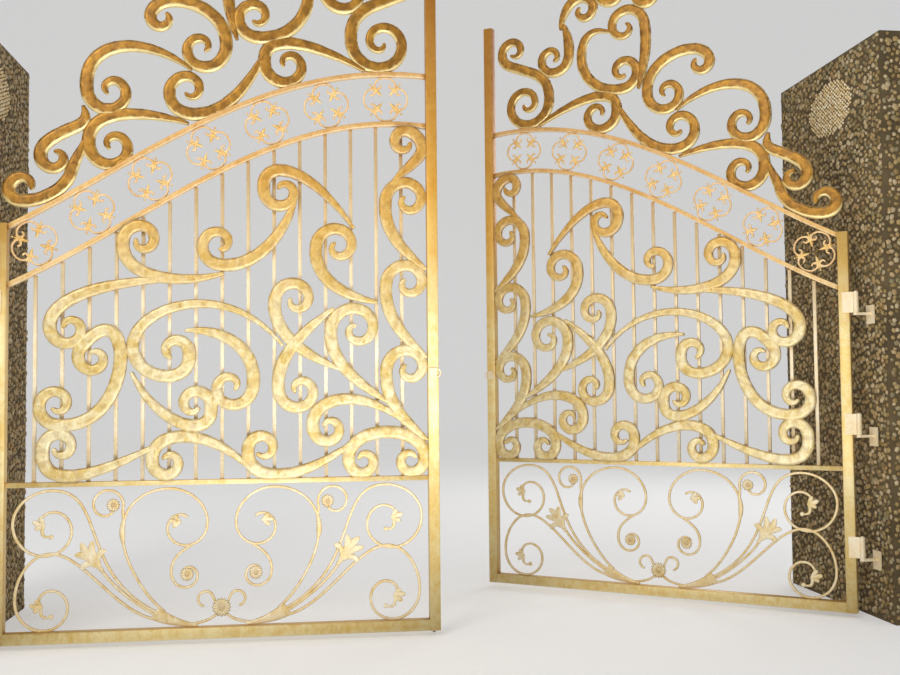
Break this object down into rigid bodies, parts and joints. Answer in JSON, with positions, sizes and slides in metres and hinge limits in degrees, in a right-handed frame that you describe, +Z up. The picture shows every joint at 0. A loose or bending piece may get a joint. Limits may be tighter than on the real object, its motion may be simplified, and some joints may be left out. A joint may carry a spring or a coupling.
{
  "type": "wrought iron driveway gate",
  "caption": "Double-leaf driveway gate of forged scrolls, bars and rosettes under a scrolled crest, hung between pebble-clad piers, one leaf ajar.",
  "frame": {"origin": "middle of the left pier's base, on its underside", "axes": "+X along the closed gate towards the right pier, +Y inwards through the gateway, +Z up"},
  "size_m": [5.052, 1.3191, 3.39],
  "materials": {
    "frame_gold": "satin antique gold paint, worn darker in the corners",
    "scroll_gold": "hammered pale gold with dark hollows",
    "crest_gold": "hammered deep gold",
    "bolt_steel": "worn",
    "pebble_cladding": "rough pebbles in mortar"
  },
  "bodies": {
    "posts": {"left_pier": "pebble_cladding", "right_pier": "pebble_cladding", "left_pier_hinge_pins": "frame_gold", "right_pier_hinge_pins": "frame_gold"},
    "left_leaf": {"left_hinge_stile": "frame_gold", "left_meeting_stile": "frame_gold", "left_bottom_rail": "frame_gold", "left_mid_rail": "frame_gold", "left_lower_arch": "frame_gold", "left_upper_arch": "frame_gold", "left_bars": "frame_gold", "left_rosettes": "frame_gold", "left_main_scrolls": "scroll_gold", "left_crest_scrolls": "crest_gold", "left_base_scrolls": "frame_gold", "left_base_castings": "frame_gold", "left_hinge_plates": "frame_gold", "left_lock_ring": "frame_gold", "left_bolt_keepers": "frame_gold"},
    "right_leaf": {"right_hinge_stile": "frame_gold", "right_meeting_stile": "frame_gold", "right_bottom_rail": "frame_gold", "right_mid_rail": "frame_gold", "right_lower_arch": "frame_gold", "right_upper_arch": "frame_gold", "right_bars": "frame_gold", "right_rosettes": "frame_gold", "right_main_scrolls": "scroll_gold", "right_crest_scrolls": "crest_gold", "right_base_scrolls": "frame_gold", "right_base_castings": "frame_gold", "right_hinge_plates": "frame_gold", "right_lock_ring": "frame_gold"},
    "drop_bolt": {"drop_bolt": "bolt_steel"}
  },
  "joints": [
    {"name": "left_leaf_hinge", "type": "hinge", "parent": "posts", "child": "left_leaf", "pos_m": [0.301, -0.41, 0.925], "axis": [0, 0, 1], "range_deg": [0, 90]},
    {"name": "right_leaf_hinge", "type": "hinge", "parent": "posts", "child": "right_leaf", "pos_m": [4.301, -0.41, 0.925], "axis": [0, 0, -1], "range_deg": [-35, 55]},
    {"name": "drop_bolt_slide", "type": "slide", "parent": "left_leaf", "child": "drop_bolt", "axis": [0, 0, 1], "range_m": [0, 0.07]}
  ]
}
